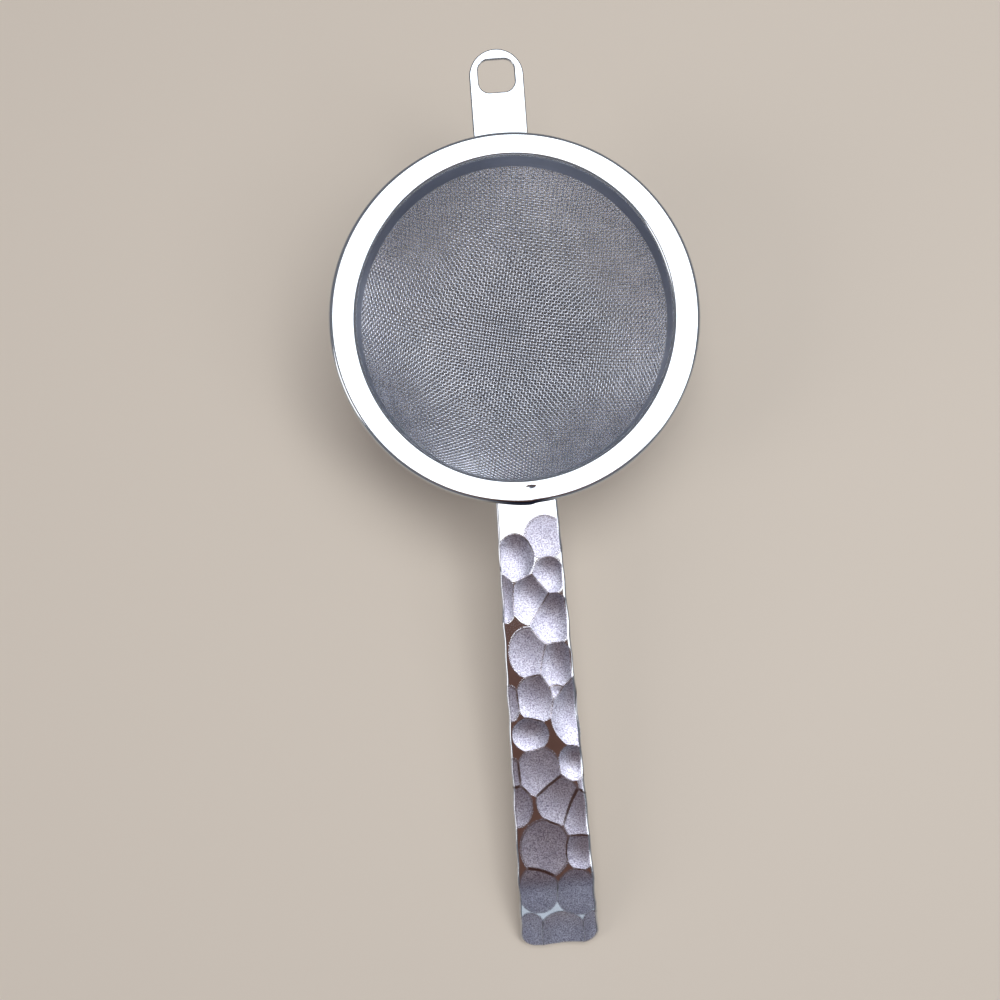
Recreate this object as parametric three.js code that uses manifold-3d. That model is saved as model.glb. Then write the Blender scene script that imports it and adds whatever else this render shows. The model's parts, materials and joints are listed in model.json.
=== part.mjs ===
// Tea strainer: a woven wire bowl held by a flat rim, with a hammered strap handle and a hanging tab.
// Units are millimetres. The strainer is first built level, in its own frame: +Z is up, the rim's top
// face is z = 0 and its centre is the origin, +Y points to the hanging tab and -Y to the handle. It is
// then tipped so that it stands as it does on a table, on the bottom of its bowl and the handle's tip.

import * as THREE from 'three';
import { mergeVertices } from 'three/addons/utils/BufferGeometryUtils.js';
import Module from 'manifold-3d';

// ---- Driving dimensions -------------------------------------------------------------------------

const GAP = 0.2;                // clearance between nested sheets

const RIM_R = 35;               // outer radius of the rim
const MOUTH_R = 30.15;          // inside of the rim's collar, at its top
const RIM_SHEET = 0.4;          // thickness of the rim's sheet
const COLLAR_DEPTH = 7.1;       // top of the rim to the foot of its collar
const COLLAR_TAPER = 0.25;      // how much smaller the collar's radius is at its foot
const COLLAR_BEND = 0.7;        // outside radius of the bend from flange to collar
const HEM_R = 0.75;             // outside radius of the fold at the outer edge
const HEM_LEAF = 0.8;           // flat width of the leaf that is folded under

const CLAMP_SHEET = 0.3;        // thickness of the clamp ring's sheet
const CLAMP_FOOT_RISE = 0.4;    // the clamp ring's foot stops this far above the collar's foot

const CLOTH_T = 0.3;            // thickness of each layer of wire cloth
const CLOTH_TOP = -1.2;         // height of the cloth's edge, between the two collars
const BOWL_DEPTH = 29.3;        // top of the rim to the inside of the bowl's bottom

const HANDLE_T = 1.5;           // thickness of the handle
const TAB_T = 1;                // thickness of the tab
const STRAP_INNER_R = 32.25;    // how near the rim's centre the handle and the tab reach

const HANDLE_LENGTH = 85.4;     // seen from above, rim to tip
const HANDLE_RIM_W = 11.2;      // width at the rim
const HANDLE_TIP_W = 14.7;      // width that the sides would reach at the tip
const HANDLE_CORNER_R = 3;
const HANDLE_TURN_LENGTH = 15.2;    // the stretch before the tip that is turned down
const HANDLE_TURN_DEG = 22;
const HANDLE_TURN_R = 10;       // inside radius of that bend

const TAB_LENGTH = 16;          // rim to tip
const TAB_W = 10.1;
const TAB_HOLE_W = 7.1;
const TAB_HOLE_L = 6.5;
const TAB_HOLE_CORNER_R = 2;
const TAB_HOLE_FROM_TIP = 4.9;  // tip to the hole's centre

const WELD_R = 0.45;
const WELD_AT_R = 32.8;         // distance of each weld from the rim's centre
const WELD_GAP = 0.1;           // clearance above and below each weld

// ---- Dimensions that follow ---------------------------------------------------------------------

const RING_STEPS = 64;          // facets round every ring, so that nested rings keep their gaps
const BEND_STEPS = 3;           // facets along each small bend
const BOWL_STEPS = 9;           // facets from the bowl's shoulder to its bottom
const CORNER_STEPS = 6;         // facets round an outline's corner

const leafTop = -2 * HEM_R + RIM_SHEET;
const strapTop = -2 * HEM_R - GAP;
const handleUnder = strapTop - HANDLE_T;
const hemCentreR = RIM_R - HEM_R;

const innerClothR = MOUTH_R + RIM_SHEET + GAP;
const outerClothR = innerClothR + CLOTH_T + GAP;
const clampR = outerClothR + CLOTH_T + GAP;
const clampTop = (leafTop - RIM_SHEET + CLAMP_SHEET) / 2;

// The bowl's inner face is part of a sphere through the collar's foot and the bottom of the bowl.
const shoulderR = innerClothR - COLLAR_TAPER;
const domeDepth = BOWL_DEPTH - COLLAR_DEPTH;
const domeR = (shoulderR ** 2 + domeDepth ** 2) / (2 * domeDepth);
const domeCentreZ = domeR - BOWL_DEPTH;

// ---- Helpers ------------------------------------------------------------------------------------

const wasm = await Module();
wasm.setup();

const radians = THREE.MathUtils.degToRad;

// Points of an arc, in degrees, from one angle to another, as [across, up] pairs.
function arc(across, up, radius, fromDeg, toDeg, steps) {
  const points = [];
  for (let i = 0; i <= steps; i += 1) {
    const angle = radians(fromDeg + ((toDeg - fromDeg) * i) / steps);
    points.push([across + radius * Math.cos(angle), up + radius * Math.sin(angle)]);
  }
  return points;
}

// A solid of revolution about Z. The profile runs anticlockwise, as [radius, height] pairs.
function turned(profile) {
  const points = profile.map(([radius, height]) => new THREE.Vector2(Math.max(radius, 0), height));
  const geometry = new THREE.LatheGeometry(points, RING_STEPS);
  return geometry.rotateX(Math.PI / 2);
}

// A flat plate: its outline lies in XY and its underside is at z = bottom.
function plate(shape, bottom, thickness) {
  const options = { depth: thickness, bevelEnabled: false, curveSegments: CORNER_STEPS };
  return new THREE.ExtrudeGeometry(shape, options).translate(0, 0, bottom);
}

function toManifold(geometry) {
  const bare = geometry.clone();
  bare.deleteAttribute('normal');
  bare.deleteAttribute('uv');
  const merged = mergeVertices(bare);
  return new wasm.Manifold(new wasm.Mesh({
    numProp: 3,
    vertProperties: new Float32Array(merged.attributes.position.array),
    triVerts: new Uint32Array(merged.index.array),
  }));
}

function toGeometry(manifold) {
  const mesh = manifold.getMesh();
  const geometry = new THREE.BufferGeometry();
  geometry.setAttribute('position', new THREE.BufferAttribute(mesh.vertProperties, 3));
  geometry.setIndex(new THREE.BufferAttribute(mesh.triVerts, 1));
  geometry.computeVertexNormals();
  return geometry;
}

function roundedRectangle(path, width, length, centreY, radius) {
  const x = width / 2 - radius;
  const y = length / 2 - radius;
  path.absarc(x, centreY + y, radius, 0, Math.PI / 2);
  path.absarc(-x, centreY + y, radius, Math.PI / 2, Math.PI);
  path.absarc(-x, centreY - y, radius, Math.PI, 1.5 * Math.PI);
  path.absarc(x, centreY - y, radius, 1.5 * Math.PI, 2 * Math.PI);
  path.closePath();
  return path;
}

// ---- Rim and clamp ring -------------------------------------------------------------------------

// The rim's sheet goes up the collar, over the bend, across the flange, round the hem and back under.
function rimRing() {
  const bendR = MOUTH_R + COLLAR_BEND;
  const outside = [
    [hemCentreR - HEM_LEAF, -2 * HEM_R],
    ...arc(hemCentreR, -HEM_R, HEM_R, -90, 90, 2 * BEND_STEPS),
    ...arc(bendR, -COLLAR_BEND, COLLAR_BEND, 90, 180, BEND_STEPS),
    [MOUTH_R - COLLAR_TAPER, -COLLAR_DEPTH],
  ];
  const inside = [
    [MOUTH_R - COLLAR_TAPER + RIM_SHEET, -COLLAR_DEPTH],
    ...arc(bendR, -COLLAR_BEND, COLLAR_BEND - RIM_SHEET, 180, 90, BEND_STEPS),
    ...arc(hemCentreR, -HEM_R, HEM_R - RIM_SHEET, 90, -90, 2 * BEND_STEPS),
    [hemCentreR - HEM_LEAF, leafTop],
  ];
  return turned([...outside, ...inside, outside[0]]);
}

// An L section: a collar round the cloth, and a flange gripped between the rim's flange and its leaf.
function clampRing() {
  const footZ = -COLLAR_DEPTH + CLAMP_FOOT_RISE;
  const footR = clampR - (COLLAR_TAPER * -footZ) / COLLAR_DEPTH;
  const flangeR = hemCentreR - GAP;
  const under = clampTop - CLAMP_SHEET;
  return turned([
    [footR, footZ],
    [footR + CLAMP_SHEET, footZ],
    [clampR + CLAMP_SHEET, under],
    [flangeR, under],
    [flangeR, clampTop],
    [clampR, clampTop],
    [footR, footZ],
  ]);
}

// ---- Wire cloth ---------------------------------------------------------------------------------

// One layer of cloth, as a thin bowl. Its inner face is `offset` outside the bowl's inner face.
function clothBowl(offset) {
  const dome = (radius) => {
    const shoulder = Math.asin((domeCentreZ + COLLAR_DEPTH) / radius);
    return arc(0, domeCentreZ, radius, -90, -THREE.MathUtils.radToDeg(shoulder), BOWL_STEPS);
  };
  const inner = domeR + offset;
  const outer = inner + CLOTH_T;
  const topR = innerClothR + offset;
  return turned([
    ...dome(outer),
    [topR + CLOTH_T, CLOTH_TOP],
    [topR, CLOTH_TOP],
    ...dome(inner).reverse(),
  ]);
}

// ---- Handle and tab -----------------------------------------------------------------------------

// The strap's outline from above, kept only where it lies inside its shape from the side.
function handle() {
  const innerY = -STRAP_INNER_R;
  const tipY = -RIM_R - HANDLE_LENGTH;
  const taper = (HANDLE_TIP_W - HANDLE_RIM_W) / 2 / HANDLE_LENGTH;
  const halfTip = HANDLE_TIP_W / 2;
  const halfInner = HANDLE_RIM_W / 2 - taper * (RIM_R - STRAP_INNER_R);

  const outline = new THREE.Shape();
  outline.moveTo(halfInner, innerY);
  outline.lineTo(-halfInner, innerY);
  outline.lineTo(-halfTip + taper * HANDLE_CORNER_R, tipY + HANDLE_CORNER_R);
  outline.absarc(-halfTip + HANDLE_CORNER_R, tipY + HANDLE_CORNER_R, HANDLE_CORNER_R,
    Math.PI, 1.5 * Math.PI);
  outline.absarc(halfTip - HANDLE_CORNER_R, tipY + HANDLE_CORNER_R, HANDLE_CORNER_R,
    1.5 * Math.PI, 2 * Math.PI);
  outline.closePath();

  const turnY = tipY + HANDLE_TURN_LENGTH;
  const turnZ = handleUnder - HANDLE_TURN_R;
  const turn = radians(HANDLE_TURN_DEG);
  const bend = (radius) => arc(turnY, turnZ, radius, 90, 90 + HANDLE_TURN_DEG, BEND_STEPS);
  const runOut = ([y, z]) => [
    y - HANDLE_TURN_LENGTH * Math.cos(turn),
    z - HANDLE_TURN_LENGTH * Math.sin(turn),
  ];
  const upper = bend(HANDLE_TURN_R + HANDLE_T);
  const lower = bend(HANDLE_TURN_R);
  const side = [
    [innerY + GAP, handleUnder],
    [innerY + GAP, strapTop],
    ...upper,
    runOut(upper.at(-1)),
    runOut(lower.at(-1)),
    ...lower.reverse(),
  ];
  const sideShape = new THREE.Shape(side.map(([y, z]) => new THREE.Vector2(y, z)));
  const sideSolid = plate(sideShape, -HANDLE_TIP_W, 2 * HANDLE_TIP_W);
  // The side shape is drawn in XY, as y and z. This turns its X to Y, its Y to Z and its Z to X.
  sideSolid.applyMatrix4(new THREE.Matrix4().set(0, 0, 1, 0, 1, 0, 0, 0, 0, 1, 0, 0, 0, 0, 0, 1));

  const column = plate(outline, handleUnder - HANDLE_TURN_LENGTH, HANDLE_TURN_LENGTH + 2 * HANDLE_T);
  return toGeometry(toManifold(column).intersect(toManifold(sideSolid)));
}

// A plate with a round end and a rounded square hole to hang it by.
function hangingTab() {
  const tipY = RIM_R + TAB_LENGTH;
  const half = TAB_W / 2;
  const outline = new THREE.Shape();
  outline.moveTo(-half, STRAP_INNER_R);
  outline.lineTo(half, STRAP_INNER_R);
  outline.absarc(0, tipY - half, half, 0, Math.PI);
  outline.closePath();
  const hole = new THREE.Path();
  roundedRectangle(hole, TAB_HOLE_W, TAB_HOLE_L, tipY - TAB_HOLE_FROM_TIP, TAB_HOLE_CORNER_R);
  outline.holes.push(hole);
  return plate(outline, strapTop - TAB_T, TAB_T);
}

// A spot weld between the clamp ring's flange and the strap below it.
function weld() {
  const height = clampTop - CLAMP_SHEET - strapTop - 2 * WELD_GAP;
  const geometry = new THREE.CylinderGeometry(WELD_R, WELD_R, height, 2 * CORNER_STEPS);
  return geometry.rotateX(Math.PI / 2).translate(0, 0, strapTop + WELD_GAP + height / 2);
}

// ---- Materials ----------------------------------------------------------------------------------

const polished = new THREE.MeshStandardMaterial({ color: 0xe6ecf2, roughness: 0.12, metalness: 1 });
const pressed = new THREE.MeshStandardMaterial({ color: 0xb4b8c0, roughness: 0.35, metalness: 1 });
const wireCloth = new THREE.MeshStandardMaterial({ color: 0x9698a5, roughness: 0.45, metalness: 1 });
const fineCloth = new THREE.MeshStandardMaterial({ color: 0x84868f, roughness: 0.5, metalness: 1 });
const hammered = new THREE.MeshStandardMaterial({ color: 0x9c929c, roughness: 0.3, metalness: 1 });
const weldMetal = new THREE.MeshStandardMaterial({ color: 0x8a8078, roughness: 0.55, metalness: 1 });

// ---- Assembly -----------------------------------------------------------------------------------

function piece(name, geometry, material) {
  const mesh = new THREE.Mesh(geometry, material);
  mesh.name = name;
  return mesh;
}

const handleWeld = piece('handle_weld', weld(), weldMetal);
handleWeld.position.y = -WELD_AT_R;
const tabWeld = piece('tab_weld', weld(), weldMetal);
tabWeld.position.y = WELD_AT_R;

const strainer = new THREE.Group();
strainer.add(
  piece('rim_ring', rimRing(), polished),
  piece('clamp_ring', clampRing(), pressed),
  piece('inner_mesh', clothBowl(0), wireCloth),
  piece('outer_mesh', clothBowl(CLOTH_T + GAP), fineCloth),
  piece('handle', handle(), hammered),
  piece('hanging_tab', hangingTab(), polished),
  handleWeld,
  tabWeld,
);

// The tilt at which the handle's tip is as low as the bowl. Seen from the dome's centre, the tip's lower
// edge is tipForward away and tipDown below; the bowl always reaches one dome radius below that centre.
const outerDomeR = domeR + 2 * CLOTH_T + GAP;
const turnRun = HANDLE_TURN_LENGTH - HANDLE_TURN_R * Math.sin(radians(HANDLE_TURN_DEG));
const turnDrop = HANDLE_TURN_R * (1 - Math.cos(radians(HANDLE_TURN_DEG)))
  + turnRun * Math.tan(radians(HANDLE_TURN_DEG));
const tipForward = RIM_R + HANDLE_LENGTH;
const tipDown = domeCentreZ - handleUnder + turnDrop;
const tilt = Math.atan2(tipForward, tipDown) - Math.acos(outerDomeR / Math.hypot(tipForward, tipDown));
strainer.rotation.x = tilt;

// The origin is under the middle of the whole strainer, on the table.
strainer.updateMatrixWorld(true);
const box = new THREE.Box3().setFromObject(strainer, true);
const middle = box.getCenter(new THREE.Vector3());
strainer.position.set(-middle.x, -middle.y, -box.min.z);

const group = new THREE.Group();
group.add(strainer);

export default group;
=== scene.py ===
"""Tea strainer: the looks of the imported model.

The strainer's parts are drawn in its level frame, in millimetres: +Z up, the rim's top face at z = 0 and
its centre at the origin, the hanging tab toward +Y and the handle toward -Y. LEVEL_AXES and LEVEL_ORIGIN
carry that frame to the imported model's, in which the strainer leans on the tip of its handle.
"""

import json
import math

import bpy
import numpy as np
from mathutils import Matrix, Vector

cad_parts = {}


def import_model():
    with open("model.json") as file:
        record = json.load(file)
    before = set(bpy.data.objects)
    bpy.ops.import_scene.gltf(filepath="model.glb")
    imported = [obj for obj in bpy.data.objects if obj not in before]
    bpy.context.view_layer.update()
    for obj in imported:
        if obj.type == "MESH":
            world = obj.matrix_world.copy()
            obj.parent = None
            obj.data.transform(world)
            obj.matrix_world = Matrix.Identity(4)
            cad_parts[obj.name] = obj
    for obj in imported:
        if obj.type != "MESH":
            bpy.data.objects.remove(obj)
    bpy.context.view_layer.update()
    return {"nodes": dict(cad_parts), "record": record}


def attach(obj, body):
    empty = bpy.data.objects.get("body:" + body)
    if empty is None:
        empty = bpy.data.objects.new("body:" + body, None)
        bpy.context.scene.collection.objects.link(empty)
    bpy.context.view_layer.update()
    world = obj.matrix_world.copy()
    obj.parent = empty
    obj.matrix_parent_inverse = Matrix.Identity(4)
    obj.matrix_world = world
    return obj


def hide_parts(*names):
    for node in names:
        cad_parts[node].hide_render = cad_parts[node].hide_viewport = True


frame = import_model()

MM = 0.001

# ---- Sizes, in millimetres, in the strainer's level frame ----------------------------------------

RIM_R = 35.0            # outer radius of the rim
MOUTH_R = 30.15         # inside of the rim's collar, at its top
RIM_SHEET = 0.4
COLLAR_DEPTH = 7.1
COLLAR_TAPER = 0.25     # how much narrower the collar is at its foot
COLLAR_BEND = 0.7       # outside radius of the bend from flange to collar
HEM_R = 0.75            # outside radius of the fold at the outer edge
HEM_LEAF = 0.8          # how far the fold runs back under the flange

CLAMP_SHEET = 0.3
CLAMP_FOOT = -6.7
CLAMP_R = 31.75         # inside of the clamp ring's collar, at its top
CLAMP_TOP = -0.6
CLAMP_BEND = 0.6        # inside radius of its bend

DOME_Z = 2.75           # height of the centre of the bowl's sphere
CLOTH_TOP = -6.4        # the wires end here, between the two collars
INNER_CLOTH_R = 32.25   # middle of the coarser cloth, from the sphere's centre
INNER_PITCH = 0.635     # 40 wires to the inch
INNER_WIRE_R = 0.125
INNER_TURN = math.radians(-12.8)
OUTER_CLOTH_R = 32.61   # middle of the finer cloth
OUTER_PITCH = 0.396     # about 64 wires to the inch
OUTER_WIRE_R = 0.06
OUTER_TURN = math.radians(-9.6)

STRAP_TOP = -1.7        # top of the handle and the tab
STRAP_INNER_R = 32.25   # how near the rim's centre they reach

HANDLE_T = 1.5
HANDLE_LENGTH = 85.7    # seen from above, rim to tip
HANDLE_RIM_W = 11.8
HANDLE_TIP_W = 15.1
HANDLE_CORNER_R = 3.0
HANDLE_TURN_LENGTH = 15.5
HANDLE_TURN = math.radians(22)
HANDLE_TURN_R = 11.5    # of the top face

TAB_T = 1.0
TAB_LENGTH = 16.25
TAB_W = 10.35
TAB_HOLE_W = 6.8
TAB_HOLE_L = 6.2
TAB_HOLE_CORNER_R = 2.0
TAB_HOLE_FROM_TIP = 5.1

# ---- The level frame ----------------------------------------------------------------------------

HANDLE_REST_LEVEL = (0.0, -75.0, STRAP_TOP - HANDLE_T)      # the record's mount handle_rest

rest = next(m for m in frame["record"]["mounts"] if m["name"] == "handle_rest")
level_up = -Vector(rest["axis"]).normalized()
LEVEL_AXES = np.array([(1, 0, 0), level_up.cross((1, 0, 0)), level_up]).T
LEVEL_ORIGIN = np.array(rest["pos_m"]) - LEVEL_AXES @ np.array(HANDLE_REST_LEVEL) * MM


def place(points):
    """Level-frame points in millimetres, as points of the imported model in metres."""
    return np.asarray(points, float) @ LEVEL_AXES.T * MM + LEVEL_ORIGIN


def arc(across, up, radius, start, stop, steps):
    """Points of an arc from one angle to another, in degrees."""
    angles = np.radians(np.linspace(start, stop, steps + 1))
    return list(zip(across + radius * np.cos(angles), up + radius * np.sin(angles)))


def piece(name, points, faces, material, nodes):
    """A smooth piece that rides on the body and stands for some CAD nodes."""
    mesh = bpy.data.meshes.new(name)
    mesh.from_pydata(place(points).tolist(), [], faces)
    mesh.polygons.foreach_set("use_smooth", [True] * len(mesh.polygons))
    mesh.materials.append(material)
    mesh.validate()
    obj = bpy.data.objects.new(name, mesh)
    bpy.context.scene.collection.objects.link(obj)
    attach(obj, "root")
    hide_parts(*nodes)
    return obj


def point_values(obj, name, values):
    """A named number on every vertex, for the material to read."""
    data = obj.data.attributes.new(name, "FLOAT", "POINT").data
    data.foreach_set("value", np.ravel(values).astype(np.float32))


def torus_faces(rows, columns):
    """Quads of a grid whose rows and columns both close on themselves."""
    i, j = np.meshgrid(np.arange(rows), np.arange(columns), indexing="ij")
    up, across = (i + 1) % rows, (j + 1) % columns
    quads = [i * columns + j, up * columns + j, up * columns + across, i * columns + across]
    return np.stack(quads, axis=-1).reshape(-1, 4).tolist()


# ---- Materials ----------------------------------------------------------------------------------

MIX_A, MIX_B, MIX_RESULT = 6, 7, 2      # a Mix node's colour sockets, which share their names with others


class Look:
    """A material made of nodes, with Object coordinates turned level, in metres."""

    def __init__(self, name, color, metallic, roughness):
        self.material = bpy.data.materials.new(name)
        self.material.use_nodes = True
        self.tree = self.material.node_tree
        self.shader = self.tree.nodes["Principled BSDF"]
        self.shader.inputs["Base Color"].default_value = (*color, 1)
        self.shader.inputs["Metallic"].default_value = metallic
        self.shader.inputs["Roughness"].default_value = roughness
        coordinates = self.node("ShaderNodeTexCoord")
        tilt = math.atan2(LEVEL_AXES[2, 1], LEVEL_AXES[1, 1])
        turn = self.node("ShaderNodeMapping", Rotation=(-tilt, 0, 0))
        self.tree.links.new(coordinates.outputs["Object"], turn.inputs["Vector"])
        self.level = turn.outputs["Vector"]

    def node(self, kind, **inputs):
        node = self.tree.nodes.new(kind)
        for name, value in inputs.items():
            self.put(node.inputs[name.replace("_", " ")], value)
        return node

    def put(self, socket, value):
        if isinstance(value, bpy.types.NodeSocket):
            self.tree.links.new(value, socket)
        else:
            socket.default_value = value

    def noise(self, scale, detail=3.0, roughness=0.5, stretch=(1, 1, 1)):
        """Noise between about 0.3 and 0.7, `scale` cells to the metre."""
        mapping = self.node("ShaderNodeMapping", Vector=self.level, Scale=stretch)
        texture = self.node("ShaderNodeTexNoise", Vector=mapping.outputs["Vector"], Scale=scale,
                            Detail=detail, Roughness=roughness)
        return texture.outputs["Fac"]

    def attribute(self, name):
        """A number that point_values gave to the vertices."""
        node = self.node("ShaderNodeAttribute")
        node.attribute_name = name
        return node.outputs["Fac"]

    def spread(self, value, low, high, source=(0.3, 0.7)):
        """A value of the source's range, carried to the range from low to high."""
        node = self.node("ShaderNodeMapRange", Value=value, From_Min=source[0], From_Max=source[1],
                         To_Min=low, To_Max=high)
        return node.outputs["Result"]

    def math(self, operation, a, b):
        node = self.node("ShaderNodeMath")
        node.operation = operation
        self.put(node.inputs[0], a)
        self.put(node.inputs[1], b)
        return node.outputs[0]

    def product(self, a, b):
        return self.math("MULTIPLY", a, b)

    def sum(self, a, b):
        return self.math("ADD", a, b)

    def mix(self, factor, a, b):
        """A colour between a and b."""
        node = self.node("ShaderNodeMix")
        node.data_type = "RGBA"
        self.put(node.inputs["Factor"], factor)
        self.put(node.inputs[MIX_A], (*a, 1) if isinstance(a, tuple) else a)
        self.put(node.inputs[MIX_B], (*b, 1) if isinstance(b, tuple) else b)
        return node.outputs[MIX_RESULT]

    def bump(self, height, distance):
        """A normal, from a height of 0 to 1 that stands for a distance in metres."""
        node = self.node("ShaderNodeBump", Height=height, Distance=distance, Strength=1.0)
        return node.outputs["Normal"]

    def set(self, **inputs):
        for name, value in inputs.items():
            self.put(self.shader.inputs[name.replace("_", " ")], value)
        return self.material


def polished_steel():
    """Bright polish, but satin inside the collar, where its colour is darkened as painted shade, with a
    painted shade line on the fold by the handle and near black in the weld's dent.
    """
    look = Look("polished_steel", (0.6, 0.63, 0.66), 1.0, 0.1)
    satin = look.attribute("satin")
    cloud = look.spread(look.noise(160, detail=4), 0, 1)
    bright = look.mix(cloud, (0.56, 0.59, 0.62), (0.62, 0.65, 0.69))
    # Painted shade: inside the collar the colour is darkened to blue-grey. The added roughness there is a
    # satin finish.
    before_dark_marks = look.mix(satin, bright, (0.3, 0.33, 0.41))
    # Painted shade: a near-black line on the fold by the handle. The weld's dent is made near black too.
    color = look.mix(look.attribute("painted_shade_and_weld_mark"), before_dark_marks, (0.03, 0.035, 0.06))
    polish = look.spread(look.noise(420, detail=5), 0.07, 0.15)
    roughness = look.sum(polish, look.product(satin, 0.3))
    scratches = look.noise(2200, detail=2, stretch=(1, 0.06, 1))
    normal = look.bump(scratches, 0.0000012)
    return look.set(Base_Color=color, Roughness=roughness, Normal=normal)


def pressed_steel():
    """Satin sheet with fine lines round it, as pressing leaves it."""
    look = Look("pressed_steel", (0.66, 0.67, 0.7), 1.0, 0.3)
    color = look.mix(look.spread(look.noise(240, detail=4), 0, 1), (0.6, 0.61, 0.64), (0.72, 0.73, 0.76))
    roughness = look.spread(look.noise(600, detail=4), 0.22, 0.36)
    normal = look.bump(look.noise(2600, detail=2, stretch=(1, 1, 0.08)), 0.000003)
    return look.set(Base_Color=color, Roughness=roughness, Normal=normal)


def wire(name, dark, light):
    """Smooth drawn wire, a little uneven in tone."""
    look = Look(name, light, 1.0, 0.13)
    color = look.mix(look.spread(look.noise(300, detail=3), 0, 1), dark, light)
    return look.set(Base_Color=color)


def hammered_steel():
    """The dents are matt and grained. The lands and ridges between them are burnished, and the ridges are
    painted dark brown as a painted reflection.
    """
    look = Look("hammered_steel", (0.6, 0.57, 0.6), 1.0, 0.3)
    dent = look.attribute("dent")
    ridge = look.attribute("ridge")
    cloud = look.spread(look.noise(320, detail=4), 0, 1)
    speck = look.spread(look.noise(4200, detail=2, roughness=0.75), 0, 1, (0.36, 0.6))
    pale = look.mix(cloud, (0.58, 0.58, 0.7), (0.72, 0.72, 0.82))
    in_dents = look.mix(speck, (0.2, 0.18, 0.26), pale)
    on_lands = look.mix(cloud, (0.54, 0.56, 0.59), (0.62, 0.64, 0.68))
    flat = look.mix(dent, on_lands, in_dents)
    # Painted reflection: the ridges where the dents meet are painted dark brown.
    color = look.mix(ridge, flat, (0.1, 0.06, 0.06))
    roughness = look.spread(dent, 0.09, 0.29, (0, 1))
    grain = look.product(look.noise(4200, detail=3, roughness=0.7), dent)
    normal = look.bump(grain, 0.00004)
    return look.set(Base_Color=color, Roughness=roughness, Normal=normal)


def weld_metal():
    """Dull, uneven and rough."""
    look = Look("weld_metal", (0.4, 0.36, 0.33), 1.0, 0.5)
    color = look.mix(look.spread(look.noise(2400, detail=4), 0, 1), (0.3, 0.25, 0.22), (0.5, 0.47, 0.45))
    normal = look.bump(look.noise(5000, detail=3), 0.00002)
    return look.set(Base_Color=color, Normal=normal)


# ---- Rim and clamp ring -------------------------------------------------------------------------

RING_STEPS = 288
FINE_ARC = 0.11         # half-width of the finely divided stretch at the handle, radians
FINE_STEPS = 80
FLANGE_STEP = 0.09
FLANGE_WAVE = 0.012     # stamped sheet is never quite flat
MOUTH_OVAL = 0.35       # how far the mouth's radius strays from its mean
MOUTH_OVAL_TURN = math.radians(-10)     # the long way of that oval, from the handle toward +X

WELD_MARK = (0.72, -31.76)      # the middle of the spot weld's dent in the flange
WELD_DENT_W = 0.8       # about half its width
WELD_DENT_L = 0.3       # about half its length along the strainer
WELD_DENT_DEPTH = 0.16

SEAM_AT = 0.2           # the hem's seam, along the rim's edge from the handle's middle toward +X
SEAM_PROUD = 0.3        # how far the fold stands out there
SEAM_FADE_LEFT = 4.5    # and how soon that fades, on its two sides
SEAM_FADE_RIGHT = 1.1

SHADE_LINE_W = 0.62        # width of the painted shade line on the fold
SHADE_LINE_LEFT = 7.5      # its reach on both sides of the handle's middle
SHADE_LINE_RIGHT = 4.5


def turned(profile, angles):
    """A closed profile of (radius, height) turned about Z, as a grid of angle, profile and axis."""
    profile = np.array(profile)
    across = profile[None, :, 0]
    grid = np.empty((len(angles), len(profile), 3))
    grid[..., 0] = across * np.cos(angles)[:, None]
    grid[..., 1] = across * np.sin(angles)[:, None]
    grid[..., 2] = profile[None, :, 1]
    return grid


def rim_angles():
    """All round from the handle, closely spaced there."""
    coarse = np.linspace(FINE_ARC, 2 * math.pi - FINE_ARC, RING_STEPS, endpoint=False)
    fine = np.linspace(-FINE_ARC, FINE_ARC, FINE_STEPS, endpoint=False)
    return np.concatenate([fine, coarse]) - math.pi / 2


def rim_profile():
    """Up the collar, over the bend, across the flange, round the hem and back under."""
    bend_r = MOUTH_R + COLLAR_BEND
    hem_centre = RIM_R - HEM_R
    foot_r = MOUTH_R - COLLAR_TAPER
    lip = RIM_SHEET / 2
    flange = [(r, 0.0) for r in np.arange(hem_centre - 0.1, bend_r, -FLANGE_STEP)]
    collar = [(MOUTH_R - COLLAR_TAPER * t, -COLLAR_BEND - (COLLAR_DEPTH - COLLAR_BEND - lip) * t)
              for t in np.linspace(0.03, 0.97, 12)]
    outside = [
        *arc(hem_centre, -HEM_R, HEM_R, -90, 90, 18),
        *flange,
        *arc(bend_r, -COLLAR_BEND, COLLAR_BEND, 90, 180, 12),
        *collar,
    ]
    foot = arc(foot_r + lip, -COLLAR_DEPTH + lip, lip, 180, 360, 8)
    inside = [
        (foot_r + RIM_SHEET, -COLLAR_DEPTH + 0.5),
        *arc(bend_r, -COLLAR_BEND, COLLAR_BEND - RIM_SHEET, 180, 90, 6),
        *arc(hem_centre, -HEM_R, HEM_R - RIM_SHEET, 90, -90, 10),
    ]
    leaf = arc(hem_centre - HEM_LEAF, -2 * HEM_R + lip, lip, 90, 270, 8)
    return [*outside, *foot, *inside, *leaf]


def widen(grid, radius, distance):
    """Moves the points of a turned grid away from its axis."""
    for axis in (0, 1):
        grid[..., axis] += distance * grid[..., axis] / radius


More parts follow.
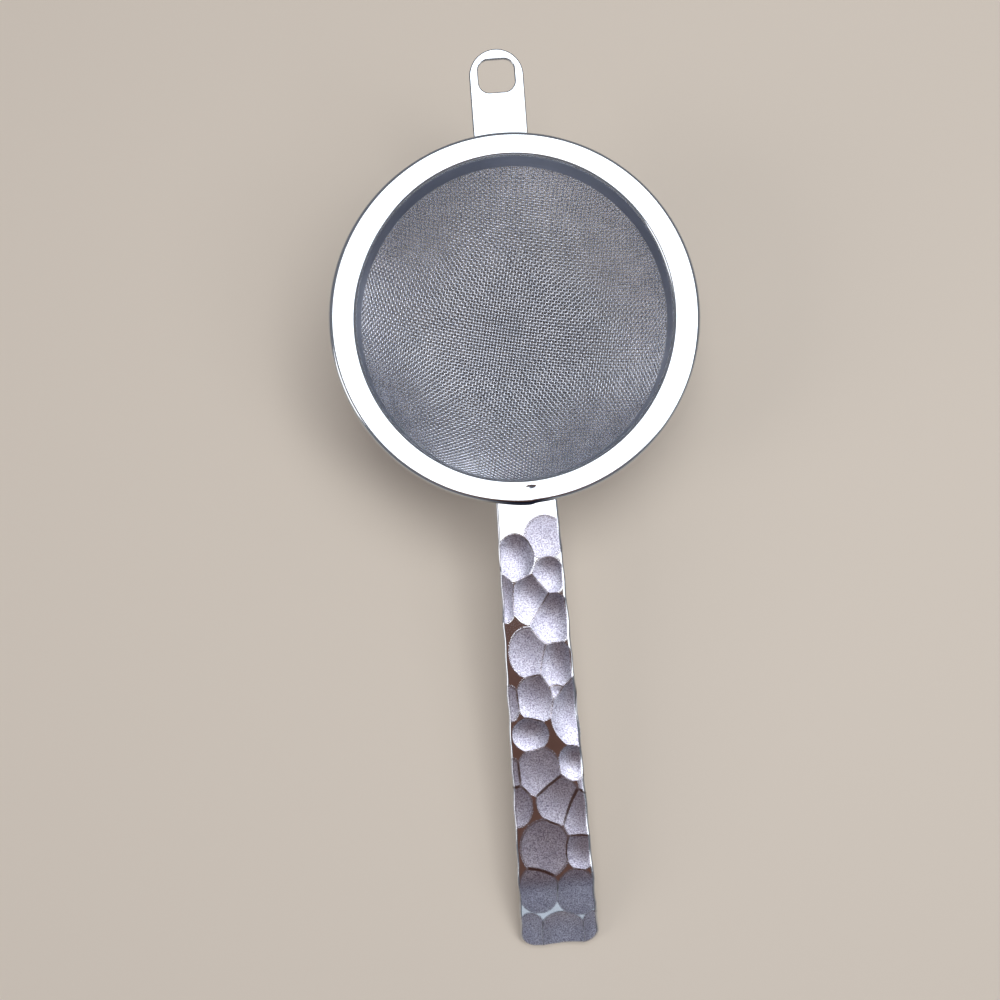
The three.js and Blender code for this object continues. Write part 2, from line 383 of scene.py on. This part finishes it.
def rim_ring(material):
    """The turned section with the weld's dent, the hem's seam and the waves of a pressed sheet."""
    grid = turned(rim_profile(), rim_angles())
    x, y, z = grid[..., 0], grid[..., 1], grid[..., 2]
    radius = np.hypot(x, y)
    around = np.arctan2(x, -y)
    # The weld's dent: a shallow oval in the flange.
    top = (z > -0.2) & (y < 0)
    from_weld = ((x - WELD_MARK[0]) / WELD_DENT_W) ** 2 + ((y - WELD_MARK[1]) / WELD_DENT_L) ** 2
    dent = np.exp(-1.6 * from_weld)
    z -= np.where(top, WELD_DENT_DEPTH * dent, 0)
    # The hem's seam: its fold stands a little proud on one side, and ends in a small notch.
    hem = np.clip((radius - (RIM_R - 1.0)) / 0.9, 0, 1)
    along = around * RIM_R
    fade = np.where(along < SEAM_AT, SEAM_FADE_LEFT, SEAM_FADE_RIGHT)
    widen(grid, radius, SEAM_PROUD * hem * np.exp(-(((along - SEAM_AT) / fade) ** 2)))
    # The pressed mouth is a little oval.
    mouth = np.clip((RIM_R - HEM_R - radius) / (RIM_R - HEM_R - MOUTH_R), 0, 1)
    widen(grid, radius, MOUTH_OVAL * mouth * np.cos(2 * (around - MOUTH_OVAL_TURN)))
    z += FLANGE_WAVE * np.sin(3 * around + 0.6) * np.clip((radius - MOUTH_R) / 4, 0, 1)
    faces = torus_faces(*grid.shape[:2])
    obj = piece("rim_ring_sheet", grid.reshape(-1, 3), faces, material, ["rim_ring"])
    # Where the steel is satin inside the collar, with its colour darkened there as painted shade; and where
    # it is dark: a painted shade line on the fold by the handle, and near black in the weld's dent.
    point_values(obj, "satin", (radius < MOUTH_R + COLLAR_BEND) * np.clip((-z - 0.4) / 0.5, 0, 1))
    # A painted shade line on the fold near the handle, and darkening in the weld's dent.
    fold = np.clip((radius - (RIM_R - SHADE_LINE_W)) / 0.12, 0, 1) * (z > -1.2)
    near_handle = np.exp(-((along / np.where(along < 0, SHADE_LINE_LEFT, SHADE_LINE_RIGHT)) ** 4))
    point_values(obj, "painted_shade_and_weld_mark", np.maximum(fold * near_handle, np.where(top, 0.9 * dent ** 2, 0)))


def clamp_ring(material):
    """An L section with a rounded bend, its flange gripped between the rim's flange and leaf."""
    foot_r = CLAMP_R + COLLAR_TAPER * CLAMP_FOOT / COLLAR_DEPTH
    lip = CLAMP_SHEET / 2
    outer_bend = CLAMP_BEND + CLAMP_SHEET
    bend_at = (CLAMP_R + outer_bend, CLAMP_TOP - outer_bend)
    edge = RIM_R - HEM_R - 0.2
    profile = [
        *arc(foot_r + lip, CLAMP_FOOT + lip, lip, 180, 360, 6),
        *arc(*bend_at, CLAMP_BEND, 180, 90, 8),
        *arc(edge - lip, CLAMP_TOP - lip, lip, -90, 90, 6),
        *arc(*bend_at, outer_bend, 90, 180, 8),
    ]
    grid = turned(profile, np.linspace(0, 2 * math.pi, RING_STEPS, endpoint=False))
    faces = torus_faces(*grid.shape[:2])
    piece("clamp_ring_sheet", grid.reshape(-1, 3), faces, material, ["clamp_ring"])


# ---- Wire cloth ---------------------------------------------------------------------------------

CRIMP = 1.2             # how far a wire swings over and under the others, in its own radii
NET_REACH = math.radians(80)    # how far a net runs from the bowl's bottom
NET_TOP = -0.2          # and the height at which it stops, on a sphere of radius 1
FEWEST_CROSSINGS = 4    # a shorter wire is left out


def net(pitch, radius, turn):
    """Crossings of a cloth pressed into a bowl, as unit vectors from the sphere's centre.

    Two wires cross at the bottom and run as great circles. Every other crossing is one pitch from
    the two before it, which mirrors their common neighbour in the plane through them.
    """
    step = pitch / radius
    count = int(NET_REACH / step)
    angles = step * np.arange(count + 1)
    points = np.full((count + 1, count + 1, 3), np.nan)
    zeros = np.zeros_like(angles)
    points[:, 0] = np.stack([np.sin(angles), zeros, -np.cos(angles)], axis=1)
    points[0, :] = np.stack([zeros, np.sin(angles), -np.cos(angles)], axis=1)
    for total in range(2, 2 * count + 1):
        i = np.arange(max(1, total - count), min(count, total - 1) + 1)
        j = total - i
        a, b = points[i, j - 1], points[i - 1, j]
        across = np.cross(a, b)
        across /= np.maximum(np.linalg.norm(across, axis=1, keepdims=True), 1e-12)
        old = points[i - 1, j - 1]
        new = old - 2 * np.sum(old * across, axis=1, keepdims=True) * across
        new[new[:, 2] > NET_TOP] = np.nan
        points[i, j] = new
    left = points[:0:-1] * (-1, 1, 1)
    half = np.concatenate([left, points])
    full = np.concatenate([half[:, :0:-1] * (1, -1, 1), half], axis=1)
    c, s = math.cos(turn), math.sin(turn)
    return full @ np.array([(c, s, 0), (-s, c, 0), (0, 0, 1)])


def wires(crossings, first, radius, wire_r):
    """Wires along the net's second index, with a point at each crossing and one between crossings."""
    runs = []
    for i, line in enumerate(crossings):
        kept = np.flatnonzero(line[:, 2] * radius + DOME_Z < CLOTH_TOP)
        if len(kept) < FEWEST_CROSSINGS:
            continue
        directions = line[kept[0]:kept[-1] + 1]
        side = 1 - 2 * ((i + np.arange(kept[0], kept[-1] + 1) + first) % 2)
        over = directions * (radius + CRIMP * wire_r * side)[:, None]
        between = directions[1:] + directions[:-1]
        between *= radius / np.linalg.norm(between, axis=1, keepdims=True)
        run = np.empty((len(over) + len(between), 3))
        run[::2], run[1::2] = over, between
        runs.append(run)
    return runs


def tubes(runs, wire_r, sides):
    """Closed tubes round the runs."""
    points, faces, base = [], [], 0
    turns = np.linspace(0, 2 * math.pi, sides, endpoint=False)
    for run in runs:
        along = np.gradient(run, axis=0)
        along /= np.linalg.norm(along, axis=1, keepdims=True)
        out = run / np.linalg.norm(run, axis=1, keepdims=True)
        side = np.cross(along, out)
        side /= np.linalg.norm(side, axis=1, keepdims=True)
        out = np.cross(side, along)
        rings = (run[:, None] + wire_r * (np.cos(turns)[None, :, None] * out[:, None]
                                          + np.sin(turns)[None, :, None] * side[:, None]))
        length = len(run)
        i, j = np.meshgrid(np.arange(length - 1), np.arange(sides), indexing="ij")
        k = (j + 1) % sides
        quads = np.stack([i * sides + j, i * sides + k, (i + 1) * sides + k, (i + 1) * sides + j], axis=-1)
        faces.extend((quads.reshape(-1, 4) + base).tolist())
        faces.append([base + n for n in reversed(range(sides))])
        faces.append([base + (length - 1) * sides + n for n in range(sides)])
        points.append(rings.reshape(-1, 3))
        base += length * sides
    return np.concatenate(points) + (0, 0, DOME_Z), faces


def cloth(name, pitch, radius, wire_r, turn, sides, parts, material, node):
    """Warp and weft, each in as many parts as keep a piece's mesh light."""
    crossings = net(pitch, radius, turn)
    for thread, grid, first in (("warp", crossings, 0), ("weft", crossings.transpose(1, 0, 2), 1)):
        runs = wires(grid, first, radius, wire_r)
        share = math.ceil(len(runs) / parts)
        for part in range(parts):
            points, faces = tubes(runs[part * share:(part + 1) * share], wire_r, sides)
            piece(f"{name}_{thread}_{part + 1}", points, faces, material, [node])


# ---- Handle -------------------------------------------------------------------------------------

# Hammer marks: place across and along from the rim's edge, seen from above, half width, half length,
# and how hard the blow was.
HAMMER_MARKS = [
    (2.9, 6.5, 3.8, 4.0, 0.25), (-2.9, 10.0, 3.3, 4.1, 1.15), (3.1, 13.9, 2.9, 3.4, 1.15),
    (-5.7, 17.7, 2.2, 4.3, 0.9), (-0.6, 18.2, 3.6, 4.4, 1.0), (2.9, 22.0, 3.9, 4.8, 1.0),
    (-1.8, 28.2, 3.6, 4.6, 0.45), (3.4, 31.4, 3.1, 5.2, 1.0), (3.1, 35.4, 1.9, 2.6, 2.2),
    (-6.0, 37.5, 1.8, 3.3, 0.7), (-0.9, 36.9, 3.8, 4.3, 0.65), (6.6, 39.9, 4.9, 6.5, 0.85),
    (-2.7, 43.6, 3.3, 3.1, 1.15), (5.1, 49.4, 2.8, 3.3, 1.5), (-1.6, 50.7, 4.0, 4.6, 0.38),
    (-6.4, 51.0, 1.4, 3.1, 0.7), (6.6, 53.0, 1.1, 3.0, 0.7), (-6.4, 57.0, 3.0, 3.9, 0.5),
    (1.6, 56.4, 4.0, 4.5, 0.42), (5.2, 59.4, 3.0, 4.7, 0.6), (-1.6, 65.3, 4.6, 5.3, 0.24),
    (5.0, 66.2, 2.8, 3.5, 0.9), (-3.5, 73.2, 3.7, 4.7, 0.35), (3.9, 74.3, 3.9, 4.6, 0.4),
    (-5.4, 82.5, 2.7, 4.3, 0.6), (0.6, 82.9, 4.3, 4.5, 0.6), (6.5, 82.8, 2.2, 4.2, 0.6),
]
HAMMER_R = 15.0         # radius of the hammer's face
HAMMER_SPREAD = 1.08    # how much further each mark would reach without its neighbours
MATT_DEPTH = 0.01       # a mark is matt from this depth on
RIDGE = 0.05            # two marks this near in height meet in a ridge
RIDGE_DEPTH = 0.05      # if both are about this deep there
BEVEL = 0.3             # slope of the worn strips along the strap's sides
BEVEL_LEFT_W = 0.45
BEVEL_RIGHT_W = 0.6
HANDLE_LEAN = 0.3       # the strap sits this far to the left at the rim
HANDLE_STEP = 0.18      # spacing of the handle's mesh
HANDLE_EDGE = 0.38      # rounding of its top edges
HANDLE_UNDER_EDGE = 0.25
HANDLE_LEAST_T = 0.3    # the strap is nowhere thinner

# Lengths along the top face: from the rim's edge to the turn, round it, on from it, and all of them.
turn_at = HANDLE_LENGTH - HANDLE_TURN_LENGTH
turn_arc = HANDLE_TURN_R * HANDLE_TURN
turn_run = (HANDLE_TURN_LENGTH - HANDLE_TURN_R * math.sin(HANDLE_TURN)) / math.cos(HANDLE_TURN)
handle_end = turn_at + turn_arc + turn_run


def along_top(seen):
    """Distance along the top face, for a distance from the rim seen from above."""
    past = seen - turn_at
    if past <= 0:
        return seen
    over_turn = HANDLE_TURN_R * math.sin(HANDLE_TURN)
    if past < over_turn:
        return turn_at + HANDLE_TURN_R * math.asin(past / HANDLE_TURN_R)
    return turn_at + turn_arc + (past - over_turn) / math.cos(HANDLE_TURN)


def hammered(x, s):
    """Height from the flat face, and how much of a dent and of a ridge each point is, from 0 to 1."""
    lowest = np.zeros_like(x)
    second = np.full_like(x, np.inf)
    for across, seen, half_w, half_l, blow in HAMMER_MARKS:
        start, stop = along_top(seen - half_l), along_top(seen + half_l)
        half = HAMMER_SPREAD * (stop - start) / 2
        half_w = HAMMER_SPREAD * half_w
        depth = blow * half_w * half / (2 * HAMMER_R)
        mark = depth * (((x - across) / half_w) ** 2 + ((s - (start + stop) / 2) / half) ** 2 - 1)
        second = np.minimum(second, np.maximum(mark, lowest))
        lowest = np.minimum(lowest, mark)
    inside = np.clip(-lowest / MATT_DEPTH, 0, 1)
    ridge = np.clip(1 - (second - lowest) / RIDGE, 0, 1) * np.clip(-lowest / RIDGE_DEPTH, 0, 1)
    return lowest, inside * (1 - ridge), ridge


def bent(x, s, z):
    """A point of the flat strap, at distance s along its top and height z from it, bent into place."""
    turned_by = np.clip((s - turn_at) / HANDLE_TURN_R, 0, HANDLE_TURN)
    past = np.maximum(s - turn_at - turn_arc, 0)
    reach = HANDLE_TURN_R + z
    before = np.minimum(s, turn_at)
    y = before + reach * np.sin(turned_by) + past * np.cos(turned_by)
    up = reach * np.cos(turned_by) - HANDLE_TURN_R - past * np.sin(turned_by)
    return np.stack([x, -RIM_R - y, STRAP_TOP + up], axis=-1)


def rounding(inset, radius):
    """Height lost near an edge that is rounded to this radius."""
    short = np.clip(radius - inset, 0, radius)
    return radius - np.sqrt(radius ** 2 - short ** 2)


def edge_spacing(half_length, radius, step):
    """Distances from one edge to the middle, close together over the edge's rounding."""
    rounded = radius * (1 - np.cos(np.linspace(0, math.pi / 2, 7)))
    return np.concatenate([rounded, [radius + 0.03], np.arange(radius + step, half_length, step)])


def strap_columns():
    """Places across the strap, from -1 at one side to 1 at the other."""
    widest = HANDLE_TIP_W / 2
    near = edge_spacing(widest, HANDLE_EDGE, HANDLE_STEP)
    inset = np.concatenate([near, [widest], 2 * widest - near[::-1]])
    return inset / widest - 1


def strap_rows():
    """Places along the strap, even up to its corners and closer toward its end."""
    start = STRAP_INNER_R - RIM_R + 0.2
    straight = np.arange(start, handle_end - HANDLE_CORNER_R, HANDLE_STEP)
    last = HANDLE_CORNER_R * (1 - np.sin(np.linspace(0, math.pi / 2, 26)))
    return np.concatenate([straight, handle_end - last[last < handle_end - straight[-1] - 0.02]])


def strap_half_width(rows):
    """Half the strap's width without its corners. The hammer leaves its sides a little wavy."""
    taper = (HANDLE_TIP_W - HANDLE_RIM_W) / 2 / HANDLE_LENGTH
    wave = 0.06 * np.sin(rows * 0.9 + 0.4) + 0.04 * np.sin(rows * 0.53 + 2.0)
    return HANDLE_RIM_W / 2 + taper * rows + wave * np.clip((rows - 4) / 6, 0, 1)


def strap_inset(x, s, half_w, side_w):
    """Distance inside the strap's outline, whose two far corners are round."""
    beyond_x = np.abs(x) - (half_w - HANDLE_CORNER_R)
    beyond_s = s - (handle_end - HANDLE_CORNER_R)
    in_corner = (beyond_x > 0) & (beyond_s > 0)
    straight_inset = np.minimum(side_w - np.abs(x), handle_end - s)
    corner_inset = HANDLE_CORNER_R - np.hypot(beyond_x, beyond_s)
    return np.maximum(np.where(in_corner, corner_inset, straight_inset), 0)


def plate_faces(n_rows, n_columns):
    """Faces of a top grid, of the same grid under it, and of the wall that joins their edges."""
    count = n_rows * n_columns
    index = np.arange(count).reshape(n_rows, n_columns)
    quads = np.stack([index[:-1, :-1], index[1:, :-1], index[1:, 1:], index[:-1, 1:]], axis=-1)
    quads = quads.reshape(-1, 4)
    loop = np.concatenate([index[0, :], index[1:, -1], index[-1, -2::-1], index[-2:0:-1, 0]])
    after = np.roll(loop, -1)
    wall = np.stack([loop, after, after + count, loop + count], axis=-1)
    return [*quads.tolist(), *(quads[:, ::-1] + count).tolist(), *wall.tolist()]


def handle(material):
    """The flat strap, hammered on top and worn along its sides, then bent."""
    rows, columns = strap_rows(), strap_columns()
    s = rows[:, None] * np.ones_like(columns)[None, :]
    half_w = strap_half_width(rows)
    corner = np.clip(rows - (handle_end - HANDLE_CORNER_R), 0, HANDLE_CORNER_R)
    side_w = half_w - HANDLE_CORNER_R + np.sqrt(HANDLE_CORNER_R ** 2 - corner ** 2)
    x = side_w[:, None] * columns[None, :]

    from_edge = strap_inset(x, s, half_w[:, None], side_w[:, None])
    depth, dent, ridge = hammered(x, s)
    bevel_w = np.where(x < 0, BEVEL_LEFT_W, BEVEL_RIGHT_W)
    worn = np.clip(bevel_w - from_edge, 0, bevel_w)
    dent = dent * np.clip(1.3 - worn / 0.15, 0, 1)
    top = depth - rounding(from_edge, HANDLE_EDGE) - BEVEL * worn
    under = -HANDLE_T + rounding(from_edge, HANDLE_UNDER_EDGE)
    x = x - HANDLE_LEAN * (1 - s / handle_end)
    top_points = bent(x, s, np.maximum(top, under + HANDLE_LEAST_T)).reshape(-1, 3)
    under_points = bent(x, s, under).reshape(-1, 3)
    obj = piece("handle_strap", np.concatenate([top_points, under_points]), plate_faces(*s.shape),
                material, ["handle"])
    point_values(obj, "dent", [dent, np.zeros_like(dent)])
    # The ridge values mark where the painted dark reflection goes.
    point_values(obj, "ridge", [ridge, np.zeros_like(ridge)])


# ---- Hanging tab --------------------------------------------------------------------------------

TAB_EDGE = 0.28         # rounding of its edges
TAB_RAYS = 360
TAB_SIDE_STEP = 0.4     # spacing along its straight sides
BEYOND_TAB = 30.0       # further from the hole's centre than any point of the tab
HALVINGS = 40

tab_hole_y = RIM_R + TAB_LENGTH - TAB_HOLE_FROM_TIP


def tab_inset(x, y):
    """Distance inside the tab's outline: straight sides and a full round end."""
    half = TAB_W / 2
    round_y = RIM_R + TAB_LENGTH - half
    side = half - np.abs(x)
    end = half - np.hypot(x, y - round_y)
    return np.where(y > round_y, end, np.minimum(side, y - STRAP_INNER_R))


def hole_outset(x, y):
    """Distance outside the tab's rounded square hole."""
    out_x = np.abs(x) - (TAB_HOLE_W / 2 - TAB_HOLE_CORNER_R)
    out_y = np.abs(y - tab_hole_y) - (TAB_HOLE_L / 2 - TAB_HOLE_CORNER_R)
    corner = np.hypot(np.maximum(out_x, 0), np.maximum(out_y, 0))
    return corner + np.minimum(np.maximum(out_x, out_y), 0) - TAB_HOLE_CORNER_R


def tab_angles():
    """Rays from the hole's centre: even in angle, and even along the long sides."""
    even = np.linspace(0, 2 * math.pi, TAB_RAYS, endpoint=False)
    heights = np.arange(STRAP_INNER_R, tab_hole_y, TAB_SIDE_STEP) - tab_hole_y
    right = np.arctan2(heights, TAB_W / 2)
    left = math.pi - right
    return np.unique(np.round(np.concatenate([even, right % (2 * math.pi), left]), 4))


def ring_where(distance, wanted, rising, angles):
    """Where each ray meets the line on which `distance` has the wanted value."""
    near, far = np.zeros_like(angles), np.full_like(angles, BEYOND_TAB)
    for _ in range(HALVINGS):
        middle = (near + far) / 2
        value = distance(middle * np.cos(angles), tab_hole_y + middle * np.sin(angles))
        short = value < wanted if rising else value > wanted
        near, far = np.where(short, middle, near), np.where(short, far, middle)
    return np.stack([near * np.cos(angles), tab_hole_y + near * np.sin(angles)], axis=-1)


def hanging_tab(material):
    """Rings round the hole, from the outline in to the hole, down and back out again."""
    angles = tab_angles()
    quarter = np.linspace(0, math.pi / 2, 7)
    edge = [(TAB_EDGE * (1 - math.cos(a)), TAB_EDGE * (1 - math.sin(a))) for a in quarter]
    edge.append((TAB_EDGE + 0.03, 0.0))
    rings = []
    for inset, drop in edge:
        rings.append((ring_where(tab_inset, inset, False, angles), -drop))
    for outset, drop in reversed(edge):
        rings.append((ring_where(hole_outset, outset, True, angles), -drop))
    for outset, drop in edge:
        rings.append((ring_where(hole_outset, outset, True, angles), drop - TAB_T))
    for inset, drop in reversed(edge):
        rings.append((ring_where(tab_inset, inset, False, angles), drop - TAB_T))
    grid = np.stack([np.column_stack([ring, np.full(len(ring), STRAP_TOP + z)]) for ring, z in rings])
    faces = torus_faces(*grid.shape[:2])
    piece("tab_plate", grid.reshape(-1, 3), faces, material, ["hanging_tab"])


# ---- Assembly -----------------------------------------------------------------------------------

polished = polished_steel()
rim_ring(polished)
clamp_ring(pressed_steel())
# Painted light and shade: the coarse cloth's wire colour is set brighter than steel, and the fine cloth
# under it much darker, as painted shade in the gaps between the coarse wires.
cloth("coarse_cloth", INNER_PITCH, INNER_CLOTH_R, INNER_WIRE_R, INNER_TURN, sides=5, parts=2,
      material=wire("wire_cloth", (0.74, 0.77, 0.84), (0.88, 0.9, 0.96)),
      node="inner_mesh")
cloth("fine_cloth", OUTER_PITCH, OUTER_CLOTH_R, OUTER_WIRE_R, OUTER_TURN, sides=4, parts=4,
      material=wire("fine_cloth", (0.22, 0.23, 0.26), (0.32, 0.32, 0.36)),
      node="outer_mesh")
handle(hammered_steel())
hanging_tab(polished)

weld_look = weld_metal()
for node in ("handle_weld", "tab_weld"):
    weld_mesh = frame["nodes"][node].data
    weld_mesh.materials.clear()
    weld_mesh.materials.append(weld_look)

# ---- Floor, light and camera --------------------------------------------------------------------

FLOOR_REACH = 20.0      # metres
FLOOR_Z = -0.0002       # just under the strainer, metres

SKY = (0.22, 0.225, 0.25)
DARK_SKY = (0.17, 0.085, 0.065)
DARK_SKY_TILT = math.radians(18)        # from straight above toward the handle
DARK_SKY_EDGE = (0.92, 0.975)           # cosines of the angles between which it fades in

CAMERA_AT = (-5.29, -33.95, 236.5)
CAMERA_ROLL = math.radians(4.28)
CAMERA_LENS = 45.36
CAMERA_SENSOR = 36

COOL = (0.96, 0.98, 1.0)
WARM = (1.0, 0.97, 0.96)
BLUE = (0.8, 0.9, 1.0)


def floor():
    """A wide, plain, pale floor."""
    mesh = bpy.data.meshes.new("floor")
    corners = [(x * FLOOR_REACH, y * FLOOR_REACH, FLOOR_Z) for x, y in ((-1, -1), (1, -1), (1, 1), (-1, 1))]
    mesh.from_pydata(corners, [], [(0, 1, 2, 3)])
    look = Look("floor", (0.8, 0.71, 0.6), 0.0, 0.6)
    mesh.materials.append(look.material)
    obj = bpy.data.objects.new("floor", mesh)
    bpy.context.scene.collection.objects.link(obj)


def softbox(name, centre, target, width, length, radiance, color):
    """An area light at one place of the level frame, facing another, all in millimetres."""
    light = bpy.data.lights.new(name, "AREA")
    light.shape = "RECTANGLE"
    light.size = width * MM
    light.size_y = length * MM
    light.energy = radiance * math.pi * light.size * light.size_y
    light.color = color
    obj = bpy.data.objects.new(name, light)
    at, to = place([centre, target])
    obj.location = at
    obj.rotation_euler = Vector(to - at).to_track_quat("-Z", "Y").to_euler()
    bpy.context.scene.collection.objects.link(obj)


def world():
    """Soft grey all round, and darker and browner above the handle."""
    made = bpy.data.worlds.new("studio")
    made.use_nodes = True
    bpy.context.scene.world = made
    tree = made.node_tree
    background = tree.nodes["Background"]
    direction = tree.nodes.new("ShaderNodeTexCoord")
    dot = tree.nodes.new("ShaderNodeVectorMath")
    dot.operation = "DOT_PRODUCT"
    tree.links.new(direction.outputs["Generated"], dot.inputs[0])
    dark_way = np.array((0, -math.sin(DARK_SKY_TILT), math.cos(DARK_SKY_TILT)))
    dot.inputs[1].default_value = LEVEL_AXES @ dark_way
    ramp = tree.nodes.new("ShaderNodeMapRange")
    ramp.interpolation_type = "SMOOTHSTEP"
    tree.links.new(dot.outputs["Value"], ramp.inputs["Value"])
    ramp.inputs["From Min"].default_value = DARK_SKY_EDGE[0]
    ramp.inputs["From Max"].default_value = DARK_SKY_EDGE[1]
    mix = tree.nodes.new("ShaderNodeMix")
    mix.data_type = "RGBA"
    tree.links.new(ramp.outputs["Result"], mix.inputs["Factor"])
    mix.inputs[MIX_A].default_value = (*SKY, 1)
    mix.inputs[MIX_B].default_value = (*DARK_SKY, 1)
    tree.links.new(mix.outputs[MIX_RESULT], background.inputs["Color"])


def camera():
    """Looking straight down at the rim's plane, turned a few degrees."""
    data = bpy.data.cameras.new("camera")
    data.sensor_width = CAMERA_SENSOR
    data.lens = CAMERA_LENS
    data.clip_start = 0.01
    obj = bpy.data.objects.new("camera", data)
    right = LEVEL_AXES @ np.array((math.cos(CAMERA_ROLL), -math.sin(CAMERA_ROLL), 0))
    up = LEVEL_AXES @ np.array((math.sin(CAMERA_ROLL), math.cos(CAMERA_ROLL), 0))
    back = LEVEL_AXES[:, 2]
    turn = Matrix(np.column_stack([right, up, back]).tolist()).to_4x4()
    obj.matrix_world = Matrix.Translation(place([CAMERA_AT])[0]) @ turn
    bpy.context.scene.collection.objects.link(obj)
    bpy.context.scene.camera = obj


floor()
world()
softbox("overhead", (110, 171, 600), (110, 171, 0), 470, 498, 2.9, COOL)
softbox("right", (400, -130, 600), (0, -60, 0), 220, 420, 2.1, COOL)
softbox("left", (-640, -120, 420), (0, -85, 0), 260, 500, 2.0, WARM)
softbox("low_front", (0, -620, 300), (0, -110, 0), 260, 115, 0.7, BLUE)
camera()
bpy.context.scene.view_settings.view_transform = "Standard"
